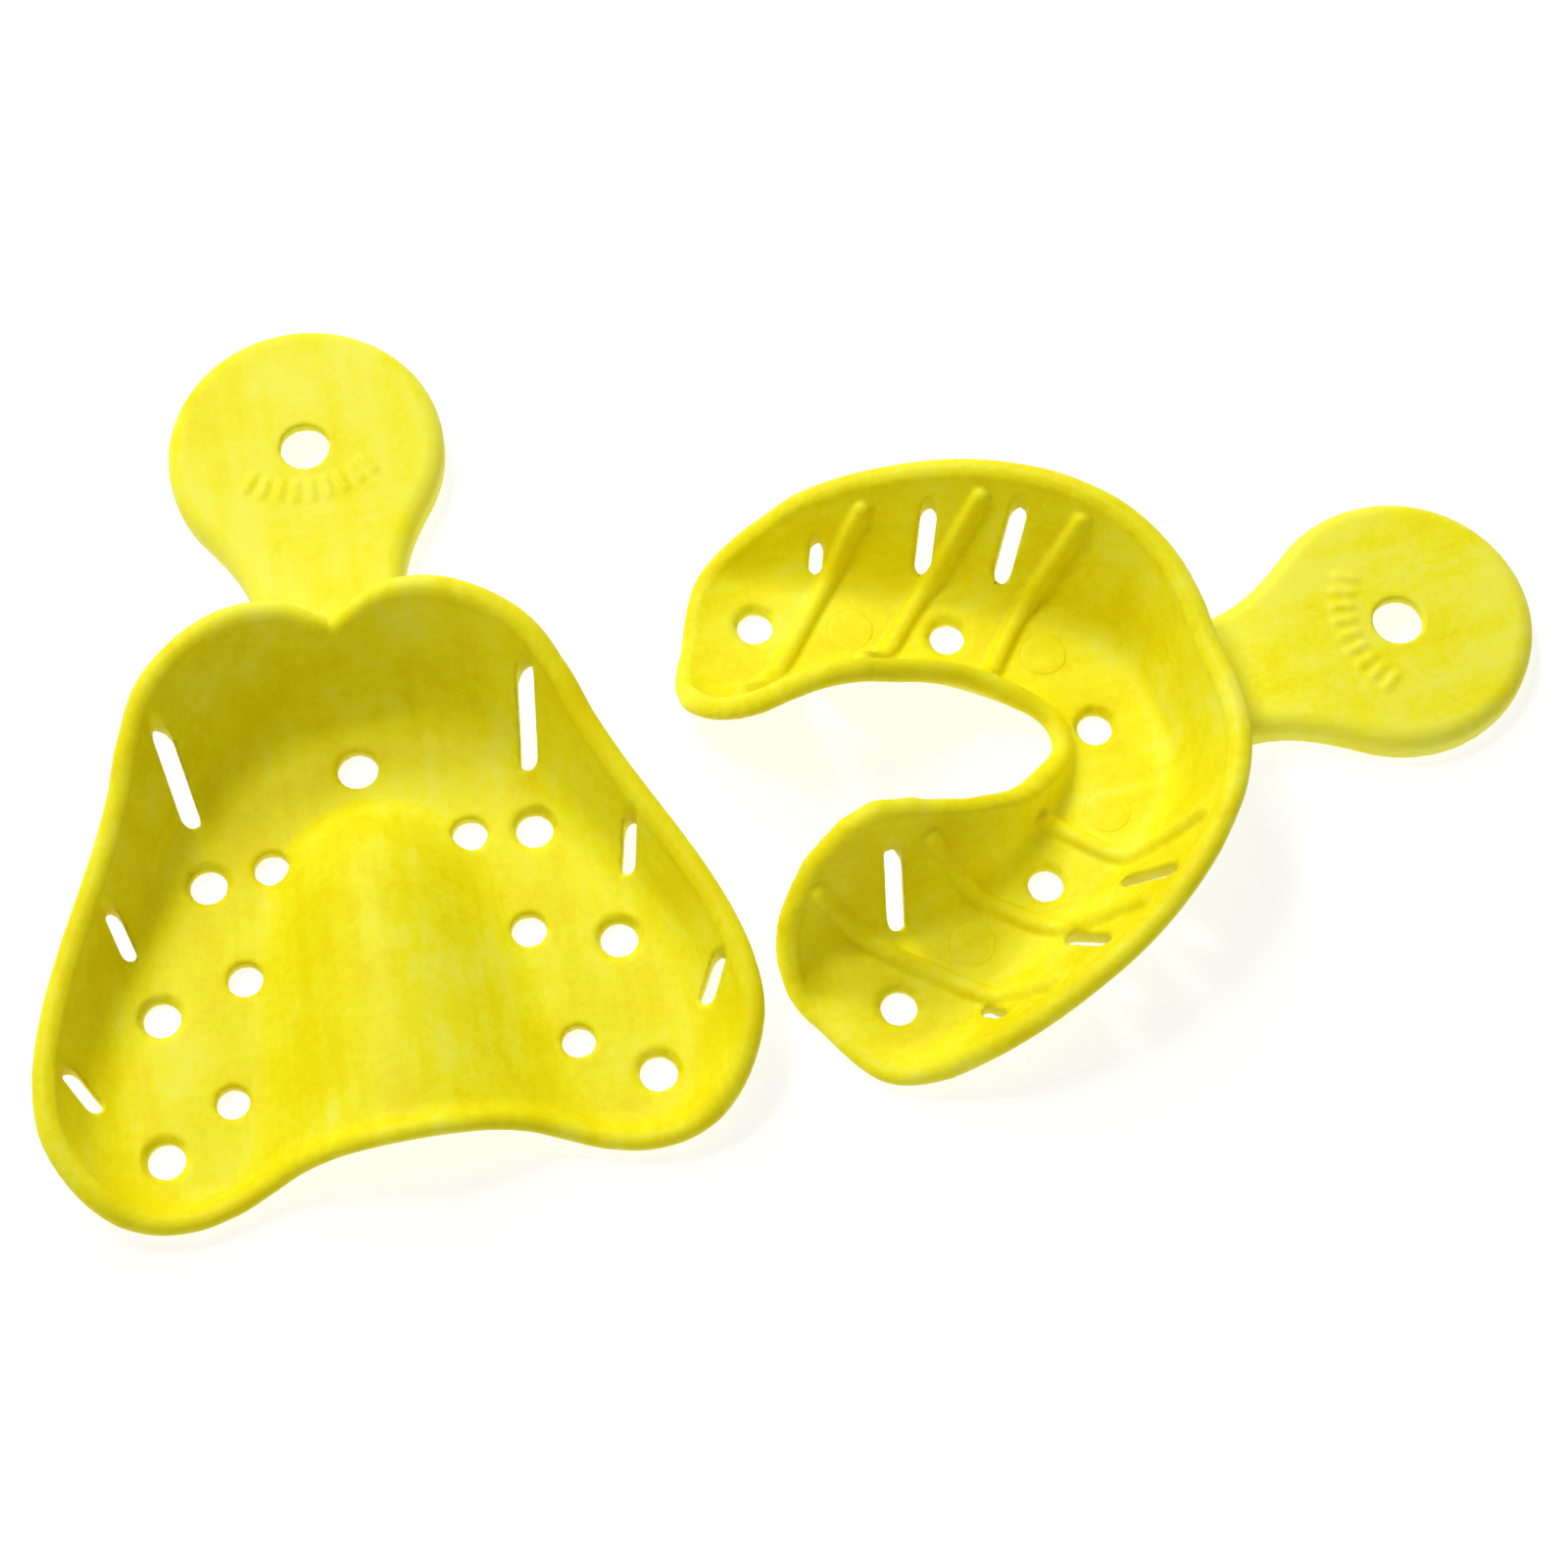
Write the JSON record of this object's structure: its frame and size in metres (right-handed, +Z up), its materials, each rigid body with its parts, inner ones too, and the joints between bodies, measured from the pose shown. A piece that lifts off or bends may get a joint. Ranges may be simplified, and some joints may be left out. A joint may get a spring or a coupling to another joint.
{
  "type": "impression tray",
  "caption": "Matched yellow plastic dental impression trays: a full-palate upper and a U-shaped lower, perforated, with rolled rims and disc handles.",
  "frame": {"origin": "on the table under the middle of the pair's bounding box, both trays lying on their floors", "axes": "+X from the upper tray to the lower tray, +Y the way the upper tray's handle points, +Z up out of the troughs"},
  "size_m": [0.1496, 0.1002, 0.0183],
  "materials": {
    "upper_plastic": "lemon yellow, opaque, semi-matte injection-moulded polystyrene",
    "lower_plastic": "lemon yellow, opaque, semi-matte injection-moulded polystyrene"
  },
  "bodies": {
    "upper_tray": {"upper_tray": "upper_plastic"},
    "lower_tray": {"lower_tray": "lower_plastic"}
  },
  "joints": [
    {"name": "lower_tray_lift", "type": "slide", "parent": "upper_tray", "child": "lower_tray", "axis": [0, 0, 1], "range_m": [0, 0.06]}
  ]
}
